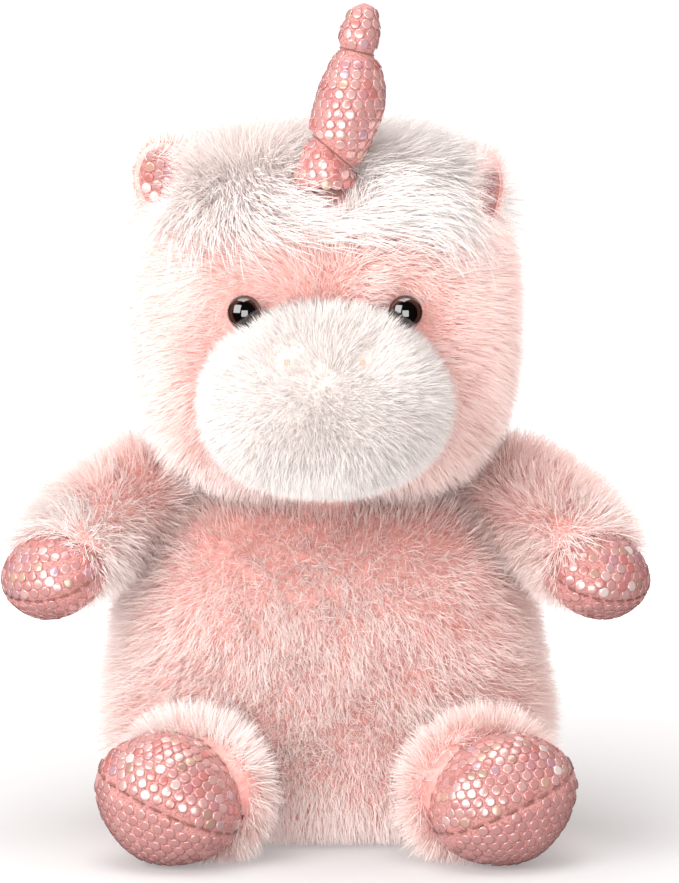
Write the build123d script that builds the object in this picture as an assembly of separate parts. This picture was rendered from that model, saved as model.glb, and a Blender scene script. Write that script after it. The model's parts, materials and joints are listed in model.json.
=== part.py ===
from build123d import *
import math
import os

# Plush unicorn sitting with its legs forward.  Millimetres, +Z up, front towards -Y, the floor
# is z = 0 and the origin is under the middle of the toy.  Every soft piece is drawn at the
# level of its fabric backing: the fur pile stands on top of it.

# Driving dimensions
FABRIC = 1.5                        # backing fabric with its seam allowance
FOIL_FABRIC = 1.0                   # thinner fabric of the horn, hooves and ear linings
GAP = 0.2                           # clearance between pieces of one body
RUNNING_GAP = 0.4                   # clearance between pieces that move on each other
HEAD_SIZE = (100.0, 88.0, 94.0)     # width, depth and height of the head
HEAD_ROUNDING = 34.0
HEAD_CENTRE = Vector(0, 2, 147)
TORSO_Y = 15.0                      # the torso sits behind the middle because the legs reach forward
TORSO_SIZE = (114.0, 84.0, 97.0)
TORSO_ROUNDING = 41.0               # of its sides and shoulders
TORSO_FOOT_ROUNDING = 18.0          # of the edge that it sits on
BASE_INSET = 19.0                   # from the widest outline of the torso to its base panel
POUCH_SIZE = (64.0, 50.0, 24.0)     # the bag of beans low in the torso
POUCH_ROUNDING = 11.5
POUCH_Z = 16.0
POUCH_FABRIC = 0.6
NECK_CENTRE = Vector(0, 6, 99)
NECK_RADIUS = 20.0
HAIR_BACKING = 6.0                  # long-haired fabric with its matted roots
FORELOCK_WIDTH = 66.0
FORELOCK_FRONT = -38.0
FORELOCK_BACK = 20.0
FORELOCK_DROP = 20.0                # below the top of the head
MANE_WIDTH = 22.0
MANE_FOOT = 118.0
MUZZLE_SIZE = (60.0, 44.0)          # width and height
MUZZLE_ROUNDING = 21.0
MUZZLE_FRONT = -73.0
MUZZLE_Z = 128.5
EYE_RADIUS = 4.1
EYE_STAND_OFF = 3.0                 # the eyes stand in front of the backing, level with the pile
EYE_X = 22.3
EYE_Z = 152.5
SHANK_RADIUS = 1.5
SHANK_LENGTH = 9.0
WASHER_RADIUS = 6.0
WASHER_DEPTH = 4.6                  # behind the foremost point of the head
NOSTRIL_X = 10.2
NOSTRIL_Z = 141.0
HORN_BASE = Vector(-1, -31, 187)
HORN_BASE_RADIUS = 9.6
HORN_MIDDLE_LOW = Vector(5.2, 0, 12)        # ends of the horn's middle lobe, from its base
HORN_MIDDLE_HIGH = Vector(7.6, 0, 25)
HORN_MIDDLE_RADIUS = 9.6
HORN_TIP_LOW = Vector(8.9, 0, 34.5)         # and of its tapered tip
HORN_TIP_HIGH = Vector(11, 0, 47)
HORN_TIP_RADIUS = 6.2
HORN_END_RADIUS = 3.6
THREAD_RADIUS = 0.5
SNUG = 0.05                         # between a thread and the fabric that it lies on
BRAID_WIDTH = 0.8                   # flat braid along the seam of a hoof
BRAID_THICKNESS = 0.7
HORN_SWAY_AT_SKIN = 3.5             # room round the horn in the skin of the head and in the forelock
HORN_SWAY_IN_HAIR = 6.0
TAIL_ROOT = Vector(0, 63.6, 32)
TAIL_RADIUS = 6.0

FRONT = -1
BACK = 1
LEFT = -1                           # the left of someone who looks at the toy's face
RIGHT = 1
SIDES = {"l": LEFT, "r": RIGHT}
HUGE = 600.0                        # side of the blocks that trim a piece with one flat face


def head_front_y():
    return HEAD_CENTRE.Y - HEAD_SIZE[1] / 2


def rounded_box(size, rounding):
    box = Box(*size)
    return fillet(box.edges(), rounding)


def capsule(start, end, radius):
    """A round bar with a ball at each end."""
    run = end - start
    plane = Plane(origin=(start + end) / 2, z_dir=run)
    bar = plane.location * Cylinder(radius, run.length)
    return bar + Pos(*start) * Sphere(radius) + Pos(*end) * Sphere(radius)


def half_space(y_sign, y):
    """Everything in front of (FRONT) or behind (BACK) a plane of constant y."""
    return Pos(0, y + y_sign * HUGE / 2, 0) * Box(HUGE, HUGE, HUGE)


def above(z):
    return Pos(0, 0, z + HUGE / 2) * Box(HUGE, HUGE, HUGE)


def slab(low, high):
    """A box between two opposite corners."""
    size = [b - a for a, b in zip(low, high)]
    middle = [(a + b) / 2 for a, b in zip(low, high)]
    return Pos(*middle) * Box(*size)


# ---------------------------------------------------------------- torso

def torso_form(inset):
    """Rounded solid of the torso, its wall moved inwards by inset."""
    size = [s - 2 * inset for s in TORSO_SIZE]
    box = Pos(0, TORSO_Y, inset + size[2] / 2) * Box(*size)
    foot_edges = box.faces().sort_by(Axis.Z)[0].edges()
    upper_edges = [e for e in box.edges() if e not in foot_edges]
    rounded = fillet(upper_edges, TORSO_ROUNDING - inset)
    foot_edges = rounded.faces().sort_by(Axis.Z)[0].edges()
    return fillet(foot_edges, TORSO_FOOT_ROUNDING - inset)


def base_form(grow, bottom, thickness):
    """The flat panel that the toy sits on."""
    width = TORSO_SIZE[0] - 2 * BASE_INSET + 2 * grow
    depth = TORSO_SIZE[1] - 2 * BASE_INSET + 2 * grow
    corner = TORSO_ROUNDING - BASE_INSET + grow
    outline = RectangleRounded(width, depth, corner)
    return Pos(0, TORSO_Y, bottom) * extrude(outline, thickness)


def neck_ball(grow):
    return Pos(*NECK_CENTRE) * Sphere(NECK_RADIUS + grow)


def bean_pouch_form(inset):
    size = [s - 2 * inset for s in POUCH_SIZE]
    return Pos(0, TORSO_Y, POUCH_Z) * rounded_box(size, POUCH_ROUNDING - inset)


def torso_pieces():
    outer = torso_form(0)
    wall = outer - torso_form(FABRIC) - neck_ball(RUNNING_GAP)
    wall = wall - base_form(GAP, -1, FABRIC + 2)
    stuffing = torso_form(FABRIC + GAP) - neck_ball(RUNNING_GAP) - bean_pouch_form(-GAP)
    return {
        "body_cover_front": wall & half_space(FRONT, TORSO_Y),
        "body_cover_back": wall & half_space(BACK, TORSO_Y),
        "base_panel": base_form(0, 0, FABRIC),
        "body_stuffing": stuffing,
        "bean_pouch": bean_pouch_form(0) - bean_pouch_form(POUCH_FABRIC),
        "bean_pellets": bean_pouch_form(POUCH_FABRIC + GAP),
        "neck_stuffing": neck_ball(0),
    }


# ---------------------------------------------------------------- head

def head_form(grow):
    """The head as a box with rounded corners, its wall moved outwards by grow."""
    size = [s + 2 * grow for s in HEAD_SIZE]
    return Pos(*HEAD_CENTRE) * rounded_box(size, HEAD_ROUNDING + grow)


def eye_centre(side):
    return Vector(side * EYE_X, head_front_y() - EYE_STAND_OFF, EYE_Z)


def y_cylinder(centre, radius, length):
    """A cylinder along Y that starts at centre and runs backwards."""
    return Pos(centre.X, centre.Y + length / 2, centre.Z) * Rot(90, 0, 0) * Cylinder(radius, length)


def eye(side):
    centre = eye_centre(side)
    return Pos(*centre) * Sphere(EYE_RADIUS) + y_cylinder(centre, SHANK_RADIUS, SHANK_LENGTH)


def eye_washer(side):
    centre = eye_centre(side)
    start = Vector(centre.X, head_front_y() + WASHER_DEPTH, centre.Z)
    ring = y_cylinder(start, WASHER_RADIUS, 1.2)
    return ring - y_cylinder(centre, SHANK_RADIUS + GAP, 2 * SHANK_LENGTH)


def eye_pocket(side):
    """The room that an eye, its shank and its washer take inside the head."""
    centre = eye_centre(side)
    return y_cylinder(centre, WASHER_RADIUS + GAP, SHANK_LENGTH + GAP)


def eye_hole(side):
    centre = eye_centre(side)
    hole = y_cylinder(centre, SHANK_RADIUS + GAP, SHANK_LENGTH)
    return hole + Pos(*centre) * Sphere(EYE_RADIUS + GAP)


def horn_room(clearance):
    """The space in which the lower half of the horn sways."""
    return capsule(HORN_BASE, HORN_BASE + HORN_MIDDLE_HIGH, HORN_BASE_RADIUS + clearance)


def hair_patch(width, front, back, foot):
    """A piece of long-haired fabric that lies on the head, as wide, as long and as low as given."""
    layer = head_form(HAIR_BACKING) - head_form(GAP)
    return layer & slab((-width / 2, front, foot), (width / 2, back, foot + HUGE))


def muzzle_form(inset):
    """The muzzle stands on the front of the head and is rounded all over, except at its back."""
    width, height = [s - 2 * inset for s in MUZZLE_SIZE]
    front = MUZZLE_FRONT + inset
    back = head_front_y() - GAP
    box = Pos(0, (front + back) / 2, MUZZLE_Z) * Box(width, back - front, height)
    back_edges = box.faces().sort_by(Axis.Y)[-1].edges()
    return fillet([e for e in box.edges() if e not in back_edges], MUZZLE_ROUNDING - inset)


def nostril(side):
    """A short bar of embroidery thread that lies on the upper rounding of the muzzle."""
    rise = NOSTRIL_Z - (MUZZLE_Z + MUZZLE_SIZE[1] / 2 - MUZZLE_ROUNDING)
    skin = MUZZLE_FRONT + MUZZLE_ROUNDING - math.sqrt(MUZZLE_ROUNDING**2 - rise**2)
    centre = Vector(side * NOSTRIL_X, skin - 1.0, NOSTRIL_Z)
    return Pos(*centre) * Rot(0, 90, 0) * Cylinder(0.6, 4)


def head_pieces():
    outer = head_form(0)
    carve = neck_ball(RUNNING_GAP) + horn_room(HORN_SWAY_AT_SKIN)
    wall = outer - head_form(-FABRIC) - carve
    stuffing = head_form(-FABRIC - GAP) - carve
    for side in SIDES.values():
        wall = wall - eye_hole(side)
        stuffing = stuffing - eye_pocket(side)
    top = HEAD_CENTRE.Z + HEAD_SIZE[2] / 2
    forelock = hair_patch(FORELOCK_WIDTH, FORELOCK_FRONT, FORELOCK_BACK, top - FORELOCK_DROP)
    pieces = {
        "head_cover_front": wall & half_space(FRONT, HEAD_CENTRE.Y),
        "head_cover_back": wall & half_space(BACK, HEAD_CENTRE.Y),
        "head_stuffing": stuffing,
        "muzzle_cover": muzzle_form(0) - muzzle_form(FABRIC),
        "muzzle_stuffing": muzzle_form(FABRIC + GAP),
        "forelock": forelock - horn_room(HORN_SWAY_IN_HAIR),
        "mane": hair_patch(MANE_WIDTH, FORELOCK_BACK + GAP, FORELOCK_BACK + HUGE, MANE_FOOT),
    }
    for name, side in SIDES.items():
        pieces[f"eye_{name}"] = eye(side)
        pieces[f"eye_washer_{name}"] = eye_washer(side)
        pieces[f"nostril_stitch_{name}"] = nostril(side)
    return pieces


# ---------------------------------------------------------------- horn

def tapered_bar(start, end, start_radius, end_radius):
    """A cone between two balls."""
    run = end - start
    plane = Plane(origin=(start + end) / 2, z_dir=run)
    bar = plane.location * Cone(start_radius, end_radius, run.length)
    return bar + Pos(*start) * Sphere(start_radius) + Pos(*end) * Sphere(end_radius)


def horn_form(inset):
    """Three soft lobes on an S-shaped line: the horn is cinched by its thread between them."""
    root = Pos(*HORN_BASE) * Sphere(HORN_BASE_RADIUS - inset)
    middle = capsule(HORN_BASE + HORN_MIDDLE_LOW, HORN_BASE + HORN_MIDDLE_HIGH, HORN_MIDDLE_RADIUS - inset)
    tip_low = HORN_BASE + HORN_TIP_LOW
    tip_high = HORN_BASE + HORN_TIP_HIGH
    tip = tapered_bar(tip_low, tip_high, HORN_TIP_RADIUS - inset, HORN_END_RADIUS - inset)
    return root + middle + tip


def crease(centre_a, radius_a, centre_b, radius_b, wire_radius):
    """A ring in the crease between two balls that cut into each other."""
    line = centre_b - centre_a
    reach = (line.length**2 + radius_a**2 - radius_b**2) / (2 * line.length)
    waist = math.sqrt(radius_a**2 - reach**2)
    plane = Plane(origin=centre_a + line.normalized() * reach, z_dir=line)
    return plane.location * Torus(waist + THREAD_RADIUS + SNUG, wire_radius)


def horn_thread(grow):
    """Two tight turns of thread in the creases of the horn."""
    wire = THREAD_RADIUS + grow
    middle_low = HORN_BASE + HORN_MIDDLE_LOW
    middle_high = HORN_BASE + HORN_MIDDLE_HIGH
    tip_low = HORN_BASE + HORN_TIP_LOW
    lower = crease(HORN_BASE, HORN_BASE_RADIUS, middle_low, HORN_MIDDLE_RADIUS, wire)
    upper = crease(middle_high, HORN_MIDDLE_RADIUS, tip_low, HORN_TIP_RADIUS, wire)
    return lower + upper


def horn_pieces():
    groove = horn_thread(2 * SNUG)
    return {
        "horn_cover": horn_form(0) - horn_form(FOIL_FABRIC) - groove,
        "horn_stuffing": horn_form(FOIL_FABRIC + GAP) - groove,
        "horn_thread": horn_thread(0),
    }


# ---------------------------------------------------------------- ears

# Where an ear is sewn on, how far it leans outwards, and how far its opening turns outwards
EAR_ROOT = Vector(43, 0, 179)
EAR_LEAN = 17.0
EAR_TURN = {"l": 28.0, "r": 58.0}
EAR_RADIUS = 10.5
EAR_THICKNESS = 7.0
EAR_REACH = 8.4                     # from the root to the middle of the ear
EAR_CLEARANCE = 2.2                 # its foot is cut to the head with room to bend


def ear_frame(name):
    """Local frame of an ear: Z up the ear, -Y out of its opening, X across it."""
    side = SIDES[name]
    root = Pos(side * EAR_ROOT.X, EAR_ROOT.Y, EAR_ROOT.Z)
    return root * Rot(0, side * EAR_LEAN, 0) * Rot(0, 0, side * EAR_TURN[name])


def ear_pieces(name):
    disc = Cylinder(EAR_RADIUS, EAR_THICKNESS)
    disc = fillet(disc.edges().filter_by(GeomType.CIRCLE), EAR_THICKNESS / 2 - GAP)
    pad = Pos(0, 0, EAR_REACH) * Rot(90, 0, 0) * disc
    frame = ear_frame(name)
    head = head_form(EAR_CLEARANCE)
    return {
        f"ear_{name}_back": frame * (pad & half_space(BACK, GAP / 2)) - head,
        f"ear_{name}_lining": frame * (pad & half_space(FRONT, -GAP / 2)) - head,
    }


# ---------------------------------------------------------------- arms and legs

LEG_X = {"l": 37.5, "r": 43.5}      # the right leg is splayed a little further than the left


class Limb:
    """A short tapered sleeve of fur with a hoof of foil fabric sewn onto its end.

    joint is the middle of its rounded root and hoof the middle of the hoof.  hoof_radii are the hoof's half sizes across, up and along the limb.  roll turns the
    seam of the hoof about the limb, and mouth is how far behind its middle the sleeve ends.
    """

    def __init__(self, name, joint, hoof, root_radius, hoof_radii, mouth, roll):
        side = SIDES[name[-1]]
        self.name = name
        self.joint = joint
        self.hoof = hoof
        self.root_radius = root_radius
        self.hoof_radii = hoof_radii
        self.roll = side * roll
        self.length = (self.hoof - self.joint).length
        self.mouth = self.length - mouth
        self.mouth_radius = hoof_radii[1] - 0.3
        self.hoof_rounding = hoof_radii[1] - GAP

    def frame(self):
        """Local frame: Z along the limb, X across it, turned by the roll."""
        along = (self.hoof - self.joint).normalized()
        across = Vector(0, 0, 1).cross(along).normalized()
        plane = Plane(origin=self.joint, x_dir=across, z_dir=along)
        return plane.location * Rot(0, 0, self.roll)

    def sleeve_form(self, inset):
        root = self.root_radius - inset
        end = self.mouth_radius - inset
        corner = math.sqrt(0.5) * root
        outline = ThreePointArc((0, -root), (corner, -corner), (root, 0))
        outline = outline + Polyline((root, 0), (end, self.mouth), (0, self.mouth), (0, -root))
        return revolve(make_face(Plane.XZ * outline), Axis.Z)

    def hoof_outline(self, grow):
        """Outline of the hoof in the plane of its seam, open side towards the sleeve."""
        half_width = self.hoof_radii[0] + grow
        tip = self.length + self.hoof_radii[2] + grow
        height = 2 * (tip - self.mouth)
        rounding = self.hoof_rounding + grow
        whole = Pos(0, self.mouth) * RectangleRounded(2 * half_width, height, rounding)
        return whole & Pos(0, self.mouth + GAP + HUGE / 2) * Rectangle(HUGE, HUGE)

    def hoof_form(self, inset):
        half_width, half_height, reach = [r - inset for r in self.hoof_radii]
        start = self.mouth + GAP
        end = self.length + reach
        box = Pos(0, 0, (start + end) / 2) * Box(2 * half_width, 2 * half_height, end - start)
        mouth_edges = box.faces().sort_by(Axis.Z)[0].edges()
        rounded_edges = [e for e in box.edges() if e not in mouth_edges]
        return fillet(rounded_edges, self.hoof_rounding - inset)

    def seam_thread(self):
        """A flat braid of thread that follows the edge between the two halves of the hoof."""
        braid = self.hoof_outline(BRAID_WIDTH) - self.hoof_outline(SNUG)
        return extrude(Plane.XZ * braid, BRAID_THICKNESS / 2, both=True)

    def pieces(self):
        sleeve_wall = self.sleeve_form(0) - self.sleeve_form(FABRIC) - self.opening()
        hoof_wall = self.hoof_form(0) - self.hoof_form(FOIL_FABRIC) - self.opening()
        filling = self.sleeve_form(FABRIC + GAP) + self.opening(-GAP)
        filling = filling + self.hoof_form(FOIL_FABRIC + GAP)
        frame = self.frame()
        return {
            f"{self.name}_sleeve": frame * sleeve_wall,
            f"{self.name}_hoof_upper": frame * (hoof_wall & half_space(BACK, GAP / 4)),
            f"{self.name}_hoof_lower": frame * (hoof_wall & half_space(FRONT, -GAP / 4)),
            f"{self.name}_hoof_thread": frame * self.seam_thread(),
            f"{self.name}_stuffing": frame * filling,
        }

    def opening(self, grow=0.0):
        """The round way between the sleeve and the hoof, where one is sewn onto the other."""
        return Pos(0, 0, self.mouth) * Cylinder(self.mouth_radius - 2 * FABRIC + grow, 4 * FABRIC)


def limbs():
    made = []
    for name, side in SIDES.items():
        leg_x = side * LEG_X[name]
        made.append(Limb(
            f"arm_{name}", joint=Vector(side * 54.5, 4, 94.8), hoof=Vector(side * 78.8, -24, 75),
            root_radius=13, hoof_radii=(15.6, 11, 15), mouth=6, roll=-18))
        made.append(Limb(
            f"leg_{name}", joint=Vector(leg_x, -38.4, 17.5), hoof=Vector(leg_x + side * 8, -60, 18.9),
            root_radius=15, hoof_radii=(20, 17.6, 16), mouth=6, roll=-23))
    return made


# ---------------------------------------------------------------- tail

def tail_form(inset):
    """A small drooping tuft: a ball at the root and a longer lobe that hangs from it."""
    root = Pos(*TAIL_ROOT) * Sphere(TAIL_RADIUS - inset)
    lobe_start = TAIL_ROOT + Vector(0, 3, -8)
    lobe_end = TAIL_ROOT + Vector(0, 7.3, -17)
    return root + capsule(lobe_start, lobe_end, TAIL_RADIUS + 0.6 - inset)


def tail_pieces():
    return {
        "tail_cover": tail_form(0) - tail_form(FABRIC),
        "tail_stuffing": tail_form(FABRIC + GAP),
    }


def all_pieces():
    pieces = {}
    pieces.update(torso_pieces())
    pieces.update(head_pieces())
    pieces.update(horn_pieces())
    for side in SIDES:
        pieces.update(ear_pieces(side))
    for limb in limbs():
        pieces.update(limb.pieces())
    pieces.update(tail_pieces())
    return pieces


os.makedirs("parts", exist_ok=True)
for node, solid in all_pieces().items():
    export_step(solid, f"parts/{node}.step")
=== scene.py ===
import bmesh
import bpy
import json
import math
import numpy as np
from mathutils import Matrix, Vector
from mathutils.kdtree import KDTree


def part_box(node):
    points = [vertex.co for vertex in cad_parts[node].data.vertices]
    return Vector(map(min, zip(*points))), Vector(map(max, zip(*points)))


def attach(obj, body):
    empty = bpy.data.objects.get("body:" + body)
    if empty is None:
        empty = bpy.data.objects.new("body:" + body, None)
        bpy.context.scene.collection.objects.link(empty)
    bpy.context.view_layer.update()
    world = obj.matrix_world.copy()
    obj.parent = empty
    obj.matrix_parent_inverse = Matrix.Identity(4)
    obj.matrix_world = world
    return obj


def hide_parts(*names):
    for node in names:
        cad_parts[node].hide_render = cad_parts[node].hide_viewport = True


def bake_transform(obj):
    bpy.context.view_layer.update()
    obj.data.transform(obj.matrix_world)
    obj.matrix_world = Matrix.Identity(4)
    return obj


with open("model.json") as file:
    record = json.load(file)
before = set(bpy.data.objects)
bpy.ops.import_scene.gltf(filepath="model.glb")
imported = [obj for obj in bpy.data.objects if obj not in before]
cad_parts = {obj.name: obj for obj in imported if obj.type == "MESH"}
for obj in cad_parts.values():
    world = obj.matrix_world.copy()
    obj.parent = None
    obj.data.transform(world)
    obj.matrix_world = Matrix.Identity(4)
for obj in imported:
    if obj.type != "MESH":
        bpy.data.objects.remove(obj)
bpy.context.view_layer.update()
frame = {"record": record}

# ---------------------------------------------------------------- driving values, in metres

MM = 0.001
PILE = 9.5 * MM                     # pile of the pink plush
SHORT_PILE = 6.5 * MM               # pile of the muzzle
EAR_PILE = 9.0 * MM
FORELOCK_PILE = 20 * MM
MANE_PILE = 18 * MM
TAIL_PILE = 12 * MM
HAIRS_PER_MM2 = {"head": 3.4, "forelock": 3.6, "mane": 3.0, "muzzle": 5.0, "torso": 3.2, "limb": 4.2,
                 "ear": 8.0, "tail": 4.5}
HAIR_WIDTH = 0.23 * MM
HAIR_LENGTHS = (0.65, 1.2)          # shortest and longest hair, as shares of its pile
HAIR_WIDTHS = (0.75, 1.2)
HAIR_TURN = 0.7                     # most that a ribbon is turned about its own line, in radians
ROOT_DEPTH = 0.4 * MM
DOT_PITCH = 3.2 * MM                # between the middles of two foil dots
DOT_RADIUS = 1.48 * MM
DOT_THICKNESS = 0.22 * MM
FLOOR = 0.4 * MM                    # no hair reaches lower than this
FLOOR_HALF = 60.0                   # half the side of the studio floor
CAMERA_DISTANCE = 1.08
CAMERA_ELEVATION = math.radians(6)
CAMERA_TARGET = Vector((0.0040, 0, 0.1119))
CAMERA_LENS = 152.0
UP = np.array([0.0, 0.0, 1.0])
SIDES = {"l": -1, "r": 1}

# Half sizes of a hoof across, up and along its limb, the distance from its middle back to the
# sleeve, and the roll of its seam about the limb
HOOF_RADII = {"arm": (16.2 * MM, 12.0 * MM, 15 * MM), "leg": (21.5 * MM, 18.2 * MM, 16 * MM)}
HOOF_MOUTH = 6 * MM
HOOF_ROLL = {"arm": 0.0, "leg": 23.0}
SEAM_GAP = 1.5 * MM                 # no dot is nearer to a seam
NET_EDGE = 1.95                     # how far round a hoof its dots reach from the tip, in radians
CLOSEST = 0.84                      # two dots are at least this share of a pitch apart

# Ears, in degrees and metres: lean, turn outwards, from the root to the middle, and half sizes
EAR_LEAN = 17.0
EAR_HALF = (10.5 * MM, 3.4 * MM, 12.0 * MM)
LINING_HALF = (8.0 * MM, 9.6 * MM)
EAR_REACH = {"l": 8.5 * MM, "r": 1.5 * MM}
EAR_TALL = {"l": 1.0, "r": 1.2}     # the right ear is turned sideways and looks taller
EAR_TURN = {"l": 28.0, "r": 58.0}

JOINTS = {j["child"]: j for j in frame["record"]["behaviour"]["joints"]}


def joint_of(body):
    """Where the joint of a body is."""
    return np.array(JOINTS[body]["pos_m"])


def boxes(*nodes):
    """(middle, half size) of the box around several CAD nodes."""
    corners = [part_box(n) for n in nodes]
    low = np.min([np.array(c[0]) for c in corners], axis=0)
    high = np.max([np.array(c[1]) for c in corners], axis=0)
    return (low + high) / 2, (high - low) / 2


def unit(v):
    length = np.linalg.norm(v, axis=-1, keepdims=True)
    return v / np.maximum(length, 1e-9)


def smoothstep(low, high, x):
    t = np.clip((x - low) / (high - low), 0, 1)
    return t * t * (3 - 2 * t)


# ---------------------------------------------------------------- materials

def new_material(name, **shader):
    material = bpy.data.materials.new(name)
    material.use_nodes = True
    bsdf = material.node_tree.nodes["Principled BSDF"]
    for socket, value in shader.items():
        bsdf.inputs[socket.replace("_", " ")].default_value = value
    return material, material.node_tree, bsdf


def node(tree, kind, **values):
    made = tree.nodes.new(kind)
    for key, value in values.items():
        setattr(made, key, value)
    return made


def ramp(tree, factor, stops):
    """A colour ramp fed by factor, with (place, colour) stops."""
    made = node(tree, "ShaderNodeValToRGB")
    elements = made.color_ramp.elements
    while len(elements) < len(stops):
        elements.new(1.0)
    for element, (place, colour) in zip(elements, stops):
        element.position = place
        element.color = (*colour, 1)
    tree.links.new(factor, made.inputs["Fac"])
    return made.outputs["Color"]


def mixed(tree, factor, first, second):
    made = node(tree, "ShaderNodeMix", data_type="RGBA")
    tree.links.new(factor, made.inputs["Factor"])
    tree.links.new(first, made.inputs["A"])
    tree.links.new(second, made.inputs["B"])
    return made.outputs["Result"]


def bump(tree, bsdf, height, strength, distance):
    made = node(tree, "ShaderNodeBump")
    made.inputs["Strength"].default_value = strength
    made.inputs["Distance"].default_value = distance
    tree.links.new(height, made.inputs["Height"])
    tree.links.new(made.outputs["Normal"], bsdf.inputs["Normal"])


def map_place(tree):
    """The two coordinates of a piece's own map, as outputs X and Y."""
    layout = node(tree, "ShaderNodeUVMap", uv_map="OFBake")
    parts = node(tree, "ShaderNodeSeparateXYZ")
    tree.links.new(layout.outputs["UV"], parts.inputs["Vector"])
    return parts.outputs["X"], parts.outputs["Y"]


def lay_on_object(tree, made):
    """Feeds a texture or vector node the place on the object."""
    position = node(tree, "ShaderNodeTexCoord")
    tree.links.new(position.outputs["Object"], made.inputs["Vector"])


def noise(tree, scale, detail=3.0):
    made = node(tree, "ShaderNodeTexNoise")
    made.inputs["Scale"].default_value = scale
    made.inputs["Detail"].default_value = detail
    lay_on_object(tree, made)
    return made.outputs["Fac"]


def hair_material():
    """Hair: u of its map goes from a darker white, painted shade for the brightly lit muzzle, over white
    and white-tipped to pink hair, v from root to tip.
    """
    material, tree, bsdf = new_material("plush_hair", Roughness=0.8, Specular_IOR_Level=0.15)
    # each ramp runs from root to tip and is darker and rosier at the root: partly the hair's own tipped
    # colour, partly painted shade deep in the pile
    tone, rise = map_place(tree)
    # painted shade: a darker copy of the white hair, for the brightly lit muzzle
    shaded_white = ramp(tree, rise, [
        (0.0, (0.72, 0.64, 0.615)), (0.4, (0.78, 0.73, 0.71)), (1.0, (0.82, 0.785, 0.77))])
    white = ramp(tree, rise, [
        (0.0, (0.94, 0.88, 0.86)), (0.4, (0.945, 0.915, 0.90)), (1.0, (0.95, 0.925, 0.915))])
    frosted = ramp(tree, rise, [
        (0.0, (0.965, 0.68, 0.64)), (0.45, (0.98, 0.83, 0.80)), (1.0, (0.98, 0.91, 0.895))])
    pink = ramp(tree, rise, [
        (0.0, (0.96, 0.60, 0.55)), (0.45, (0.98, 0.76, 0.72)), (1.0, (0.985, 0.865, 0.835))])
    to_white = ramp(tree, tone, [(0.0, (0, 0, 0)), (0.12, (1, 1, 1))])
    to_frosted = ramp(tree, tone, [(0.12, (0, 0, 0)), (0.5, (1, 1, 1))])
    to_pink = ramp(tree, tone, [(0.5, (0, 0, 0)), (1.0, (1, 1, 1))])
    whites = mixed(tree, to_white, shaded_white, white)
    paler = mixed(tree, to_frosted, whites, frosted)
    tree.links.new(mixed(tree, to_pink, paler, pink), bsdf.inputs["Base Color"])
    return material


def backing_material(name, low, high):
    """The knitted backing of the pile: a fine mottled cloth."""
    material, tree, bsdf = new_material(name, Roughness=0.9, Sheen_Weight=0.2)
    grain = noise(tree, 900)
    tree.links.new(ramp(tree, grain, [(0.3, low), (0.7, high)]), bsdf.inputs["Base Color"])
    bump(tree, bsdf, grain, 0.4, 0.0004)
    return material


def foil_cloth_material():
    """The pink knit between the foil dots, with a fine glitter."""
    material, tree, bsdf = new_material("foil_cloth", Sheen_Weight=0.2)
    knit = node(tree, "ShaderNodeTexVoronoi", feature="F1")
    knit.inputs["Scale"].default_value = 1600
    lay_on_object(tree, knit)
    colour = ramp(tree, knit.outputs["Distance"], [
        (0.0, (0.60, 0.29, 0.27)), (0.5, (0.50, 0.215, 0.20)), (0.9, (0.34, 0.13, 0.12))])
    tree.links.new(colour, bsdf.inputs["Base Color"])
    shine = ramp(tree, knit.outputs["Distance"], [(0.0, (0.3, 0.3, 0.3)), (0.6, (0.7, 0.7, 0.7))])
    tree.links.new(shine, bsdf.inputs["Roughness"])
    bump(tree, bsdf, knit.outputs["Distance"], 0.5, 0.0003)
    return material


def foil_dot_material():
    """Pearly foil: u of its map picks the tint of each dot."""
    material, tree, bsdf = new_material(
        "foil_dots", Metallic=0.4, Roughness=0.22, Coat_Weight=0.35, Coat_Roughness=0.08)
    pick, _ = map_place(tree)
    tint = ramp(tree, pick, [
        (0.0, (0.92, 0.80, 0.78)), (0.06, (0.72, 0.43, 0.41)), (0.30, (0.68, 0.37, 0.355)),
        (0.58, (0.64, 0.32, 0.31)), (0.72, (0.66, 0.24, 0.22)), (0.82, (0.60, 0.36, 0.42)),
        (0.91, (0.70, 0.44, 0.35)), (1.0, (0.46, 0.27, 0.23))])
    tree.links.new(tint, bsdf.inputs["Base Color"])
    grain = noise(tree, 2500, 1.0)
    bump(tree, bsdf, grain, 0.12, 0.0001)
    return material


def thread_material(name, dark, light):
    """Twisted sewing thread: a fine diagonal wave along it."""
    material, tree, bsdf = new_material(name, Roughness=0.6, Sheen_Weight=0.3)
    wave = node(tree, "ShaderNodeTexWave", bands_direction="DIAGONAL")
    wave.inputs["Scale"].default_value = 900
    lay_on_object(tree, wave)
    tree.links.new(ramp(tree, wave.outputs["Fac"], [(0.2, dark), (0.8, light)]), bsdf.inputs["Base Color"])
    bump(tree, bsdf, wave.outputs["Fac"], 0.5, 0.0002)
    return material


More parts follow.
